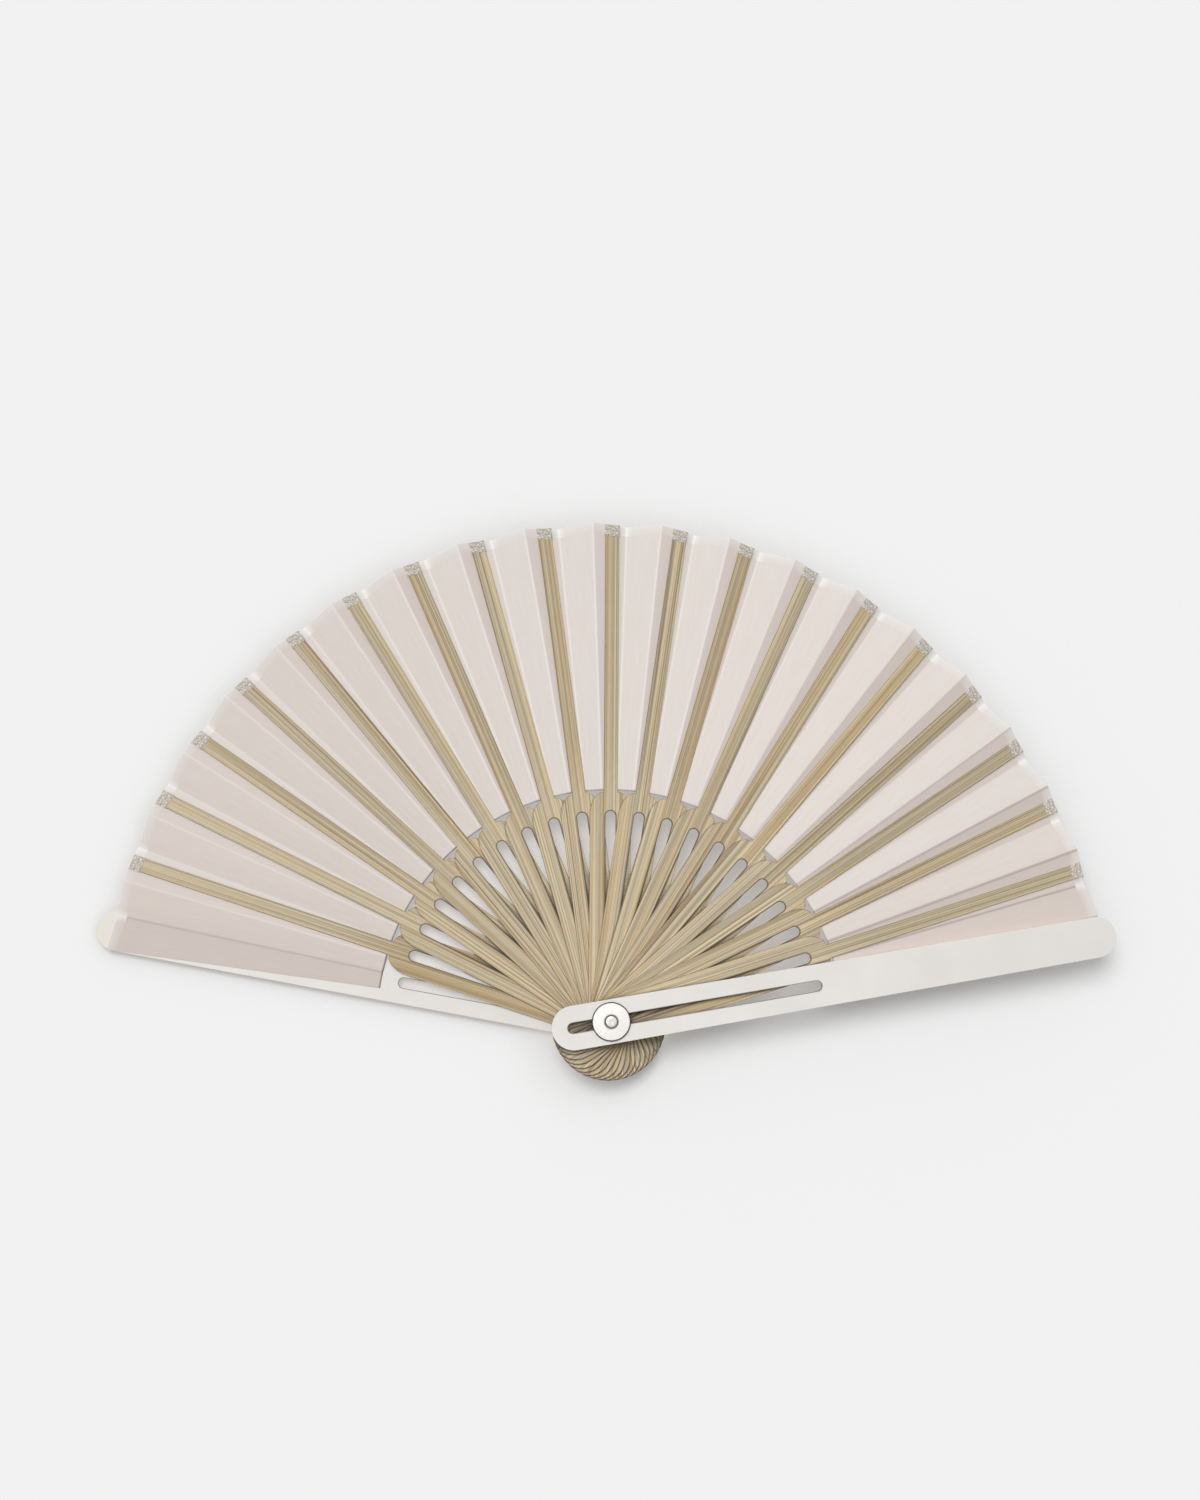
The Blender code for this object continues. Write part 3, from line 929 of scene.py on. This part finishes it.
def metal_material(name, pitted, rings):
    """Satin nickel with fine pits, and darker rings of painted shade and dark reflection along its edges,
    with some dirt by the rivet's head.
    """
    material, nodes, links = new_material(name)
    shader = nodes["Principled BSDF"]
    place = add_node(nodes, "ShaderNodeTexCoord").outputs["Object"]
    pits = stretched_noise(nodes, links, place, PIT_GRAIN)
    tone = ramp(nodes, links, pits, colours([(PIT_LEVEL, pitted), *NICKEL_TONES]))
    rim_shade = ramp(nodes, links, radius_share(nodes, links, place), rings)
    tone = mix(nodes, links, "MULTIPLY", 1.0, tone, rim_shade)
    links.new(tone, shader.inputs["Base Color"])
    shader.inputs["Metallic"].default_value = 1.0
    roughness = ramp(nodes, links, pits, greys(NICKEL_ROUGHNESS))
    links.new(roughness, shader.inputs["Roughness"])
    bump(nodes, links, shader, pits, NICKEL_RELIEF)
    return material


def weave_height(nodes, links):
    """The cloth's own flat places, and the height of a plain weave on them."""
    place = add_node(nodes, "ShaderNodeUVMap", uv_map="weave").outputs["UV"]
    # A wave of scale 1 is pi / 10 long
    waves = []
    for direction in ("X", "Y"):
        wave = add_node(nodes, "ShaderNodeTexWave", wave_type="BANDS", bands_direction=direction)
        wave.inputs["Scale"].default_value = math.pi / 10 / THREAD_PITCH
        wave.inputs["Distortion"].default_value = WEAVE_DISTORTION
        wave.inputs["Detail"].default_value = WEAVE_DETAIL
        links.new(place, wave.inputs["Vector"])
        waves.append(wave.outputs["Fac"])
    return place, calculate(nodes, links, "MULTIPLY", *waves)


def attribute(nodes, name):
    return add_node(nodes, "ShaderNodeAttribute", attribute_name=name).outputs["Fac"]


def folded_tone(nodes, links, tone, depth):
    """The cloth's colour with its painted shade, and with painted highlight and shadow lines along its
    folds.
    """
    shade = ramp(nodes, links, attribute(nodes, "painted_shade"), CLOTH_PAINTED_SHADE)
    tone = mix(nodes, links, "MULTIPLY", depth, tone, shade)
    fold_light = attribute(nodes, "fold_light")
    light = ramp(nodes, links, fold_light, greys(LINE_STRENGTHS))
    tone = mix(nodes, links, "MIX", light, tone, colour(*PAINTED_HIGHLIGHT_TONE))
    below = calculate(nodes, links, "MULTIPLY", fold_light, -1.0)
    dark = ramp(nodes, links, below, greys(LINE_STRENGTHS))
    return mix(nodes, links, "MIX", dark, tone, colour(*PAINTED_FOLD_SHADOW_TONE))


def cloth_material():
    """Pale pink woven cloth with painted shade, painted highlight and shadow lines at its folds, and a
    painted shadow at its inner edge.
    """
    material, nodes, links = new_material("leaf_cloth")
    shader = nodes["Principled BSDF"]
    place, weave = weave_height(nodes, links)
    slubs = stretched_noise(nodes, links, place, SLUB_GRAIN)
    tone = ramp(nodes, links, slubs, colours(CLOTH_TONES))
    threads = ramp(nodes, links, weave, greys(WEAVE_SHADES))
    tone = mix(nodes, links, "MULTIPLY", 1.0, tone, threads)
    tone = folded_tone(nodes, links, tone, 1.0)
    # A painted shadow line along the leaf's inner edge
    inner = attribute(nodes, "inner")
    tone = mix(nodes, links, "MIX", inner, tone, colour(*INNER_SHADOW_TONE))
    links.new(tone, shader.inputs["Base Color"])
    shader.inputs["Roughness"].default_value = CLOTH_ROUGHNESS
    shader.inputs["Sheen Weight"].default_value = SHEEN_WEIGHT
    shader.inputs["Sheen Roughness"].default_value = SHEEN_ROUGHNESS
    shader.inputs["Specular IOR Level"].default_value = CLOTH_SPECULAR
    bump(nodes, links, shader, weave, WEAVE_RELIEF)
    return material


def tape_tone(nodes, links, cloudy, hemmed):
    """Colour of the hem on the cloth: whitish tape, with the cloth's painted shade and its painted highlight
    and shadow lines along the folds.
    """
    tone = ramp(nodes, links, cloudy, colours(HEM_TONES))
    fade = ramp(nodes, links, hemmed, greys(HEM_FADE))
    tone = mix(nodes, links, "MIX", fade, colour(*HEM_EDGE_TONE), tone)
    depth = ramp(nodes, links, hemmed, greys(HEM_SHADE_DEPTH))
    tone = folded_tone(nodes, links, tone, depth)
    bright = ramp(nodes, links, attribute(nodes, "notch"), greys(NOTCH_STRENGTHS))
    return mix(nodes, links, "MIX", bright, tone, colour(*NOTCH_TONE))


def sheer_tone(nodes, links, cloudy, hemmed):
    """Colour of the hem over a strip's tip, where it is see-through."""
    tone = ramp(nodes, links, cloudy, colours(SHEER_TONES))
    edge = ramp(nodes, links, hemmed, greys(SHEER_EDGE))
    return mix(nodes, links, "MIX", edge, tone, colour(*SHEER_EDGE_TONE))


def hem_material():
    """The hem: whitish woven tape on the cloth, and see-through over the strips' tips."""
    material, nodes, links = new_material("leaf_hem")
    shader = nodes["Principled BSDF"]
    place, weave = weave_height(nodes, links)
    cloudy = stretched_noise(nodes, links, place, HEM_GRAIN)
    hemmed = attribute(nodes, "hemmed")
    on_cloth = tape_tone(nodes, links, cloudy, hemmed)
    on_strip = sheer_tone(nodes, links, cloudy, hemmed)
    beside = attribute(nodes, "beside")
    beside = rise(nodes, links, beside, STRIP_HALF_WIDTH, STRIP_HALF_WIDTH + HEM_STEP)
    tone = mix(nodes, links, "MIX", beside, on_strip, on_cloth)
    links.new(tone, shader.inputs["Base Color"])
    cover = ramp(nodes, links, cloudy, greys(SHEER_COVER))
    cover = mix(nodes, links, "MIX", beside, cover, grey(HEM_COVER))
    links.new(cover, shader.inputs["Alpha"])
    shader.inputs["Roughness"].default_value = HEM_ROUGHNESS
    shader.inputs["Specular IOR Level"].default_value = CLOTH_SPECULAR
    bump(nodes, links, shader, weave, WEAVE_RELIEF)
    return material


def dress_frame():
    """Finish the frame's own sticks and guards."""
    finishes = {body_of(layer): bamboo_material(layer) for layer in range(1, LAST_LAYER)}
    finishes["rear_guard"] = lacquer_material("rear_lacquer", 0, tinted=True)
    finishes["front_guard"] = lacquer_material("front_lacquer", LAST_LAYER, tinted=False)
    for name, material in finishes.items():
        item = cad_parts[name]
        item.data.materials.clear()
        item.data.materials.append(material)


def turned_piece(name, node, profile, material):
    """Spin a profile of (radius, height) about the rivet's axis, in place of a node."""
    bm = bmesh.new()
    verts = [bm.verts.new((radius, 0, height)) for radius, height in profile]
    edges = [bm.edges.new(pair) for pair in zip(verts, verts[1:])]
    bmesh.ops.spin(
        bm, geom=verts + edges, cent=(0, 0, 0), axis=(0, 0, 1), angle=math.tau,
        steps=TURNED_STEPS, use_merge=True, use_duplicate=False,
    )
    bmesh.ops.remove_doubles(bm, verts=bm.verts[:], dist=MERGE_DISTANCE)
    mesh = mesh_from(bm, name)
    mesh.materials.append(material)
    piece = add_object(name, mesh)
    piece.modifiers.new("shading", "WEIGHTED_NORMAL")
    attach(piece, "rear_guard")
    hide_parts(node)


def washer_profile(node):
    """Section of a washer with rounded rims, from its hole out and back to it."""
    low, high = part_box(node)
    profile = [(WASHER_HOLE, low.z)]
    top = high.z - WASHER_CROWN
    for base, first in ((low.z + RIM_ROUND, -math.pi / 2), (top - RIM_ROUND, 0)):
        for row in range(RIM_ROWS + 1):
            turn = first + math.pi / 2 * row / RIM_ROWS
            radius = high.x - RIM_ROUND + RIM_ROUND * math.cos(turn)
            profile.append((radius, base + RIM_ROUND * math.sin(turn)))
    profile.append((WASHER_HOLE + HOLE_CHAMFER, high.z))
    profile.append((WASHER_HOLE, high.z - HOLE_CHAMFER))
    profile.append((WASHER_HOLE, low.z))
    return profile


def rivet_profile():
    """Section of the rivet: a nearly flat head with a rounded rim at each end of its shank."""
    low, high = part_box("rivet")
    rear = [(radius, low.z + depth) for radius, depth in RIVET_HEAD]
    front = [(radius, high.z - depth) for radius, depth in RIVET_HEAD]
    return rear + front[::-1]


def make_rivet():
    """Rivet and washers, rounder than the frame's."""
    dark = colour(*RIM_SHADE_AND_GRIME)
    rings = greys(RIVET_RINGS) + [(RIVET_RIM_SHADE, dark)]
    finish = metal_material("rivet_nickel", RIVET_PITS, rings)
    turned_piece("domed_rivet", "rivet", rivet_profile(), finish)
    rings = [(WASHER_INNER_SHADE_AND_GRIME, dark)] + greys(WASHER_RINGS) + [(WASHER_RIM_SHADE, dark)]
    finish = metal_material("washer_nickel", WASHER_PITS, rings)
    for node in ("rear_washer", "front_washer"):
        turned_piece(f"{node}_disc", node, washer_profile(node), finish)


def make_leaf():
    materials = (cloth_material(), hem_material())
    for layer in range(LAST_LAYER):
        place_cloth(layer, make_cloth(layer, materials))


def seen_ray(nodes, links):
    """1 for a ray from the camera, or one by a mirror or through glass, and 0 for others."""
    ray = add_node(nodes, "ShaderNodeLightPath")
    seen = ray.outputs["Is Camera Ray"]
    for kind in ("Is Glossy Ray", "Is Transmission Ray"):
        seen = calculate(nodes, links, "MAXIMUM", seen, ray.outputs[kind])
    return seen


def mix_shaders(nodes, links, share, first, second, output):
    """Show the second shader by a share from 0 to 1, and the first by the rest."""
    both = add_node(nodes, "ShaderNodeMixShader")
    for socket, value in zip(both.inputs, (share, first.outputs[0], second.outputs[0])):
        links.new(value, socket)
    links.new(both.outputs[0], output.inputs["Surface"])


def floor_material():
    """A pale colour with painted shadow near the fan, part of which is seen without any light, more of it as
    painted light in the shade.
    """
    material, nodes, links = new_material("pale_floor")
    shader = nodes["Principled BSDF"]
    shader.inputs["Roughness"].default_value = 1.0
    shader.inputs["Specular IOR Level"].default_value = 0.0
    glow = add_node(nodes, "ShaderNodeEmission")
    clear = openness(nodes, FLOOR_SHADOW_REACH, FLOOR_SAMPLES)
    shade = ramp(nodes, links, clear, FLOOR_PAINTED_SHADOW)
    tone = mix(nodes, links, "MULTIPLY", 1.0, BACKGROUND, shade)
    links.new(tone, shader.inputs["Base Color"])
    links.new(tone, glow.inputs["Color"])
    unlit = ramp(nodes, links, clear, greys(FLOOR_GLOW))
    share = calculate(nodes, links, "MULTIPLY", seen_ray(nodes, links), unlit)
    mix_shaders(nodes, links, share, shader, glow, nodes["Material Output"])
    return material


def make_floor():
    """A wide square floor at height 0."""
    mesh = bpy.data.meshes.new("floor")
    half = FLOOR_SIZE / 2
    corners = [(-half, -half, 0), (half, -half, 0), (half, half, 0), (-half, half, 0)]
    mesh.from_pydata(corners, [], [(0, 1, 2, 3)])
    mesh.materials.append(floor_material())
    add_object("floor", mesh)


def make_world():
    """Soft light, stronger on the key light's side, and the pale background where it is seen."""
    world = bpy.data.worlds.new("studio")
    bpy.context.scene.world = world
    world.use_nodes = True
    nodes = world.node_tree.nodes
    links = world.node_tree.links
    ambient = nodes["Background"]
    ambient.inputs["Color"].default_value = (1, 1, 1, 1)
    place = add_node(nodes, "ShaderNodeTexCoord").outputs["Generated"]
    lean = add_node(nodes, "ShaderNodeVectorMath", operation="DOT_PRODUCT")
    lean.inputs[1].default_value = (math.cos(KEY_DIRECTION), math.sin(KEY_DIRECTION), 0)
    links.new(place, lean.inputs[0])
    extra = AMBIENT_LEVEL * AMBIENT_LEAN
    towards = lean.outputs["Value"]
    strength = calculate(nodes, links, "MULTIPLY_ADD", towards, extra, AMBIENT_LEVEL)
    links.new(strength, ambient.inputs["Strength"])
    seen = add_node(nodes, "ShaderNodeBackground")
    seen.inputs["Color"].default_value = BACKGROUND
    share = seen_ray(nodes, links)
    mix_shaders(nodes, links, share, ambient, seen, nodes["World Output"])


def make_key_light():
    """A broad soft light from beyond the fan's outer edge, a little to the left."""
    lamp = bpy.data.lights.new("key", "SUN")
    lamp.energy = KEY_LEVEL * math.pi / math.sin(KEY_ELEVATION)
    lamp.angle = KEY_SPREAD
    level = math.cos(KEY_ELEVATION)
    towards = Vector((
        level * math.cos(KEY_DIRECTION),
        level * math.sin(KEY_DIRECTION),
        math.sin(KEY_ELEVATION),
    ))
    key = add_object("key", lamp)
    key.rotation_euler = towards.to_track_quat("Z", "Y").to_euler()


def make_camera():
    """Above the fan, a few degrees off straight down, framing it as the photograph does."""
    lens = bpy.data.cameras.new("camera")
    lens.sensor_width = SENSOR
    lens.lens = SENSOR * FOCAL_PIXELS / PHOTO_HEIGHT
    lens.clip_end = FLOOR_SIZE * 2
    camera = add_object("camera", lens)
    camera.location = CAMERA_PLACE
    camera.rotation_euler = CAMERA_TURN
    bpy.context.scene.camera = camera


make_camera()
make_world()
make_key_light()
make_floor()
dress_frame()
make_rivet()
make_leaf()
bpy.context.scene.view_settings.view_transform = "Standard"
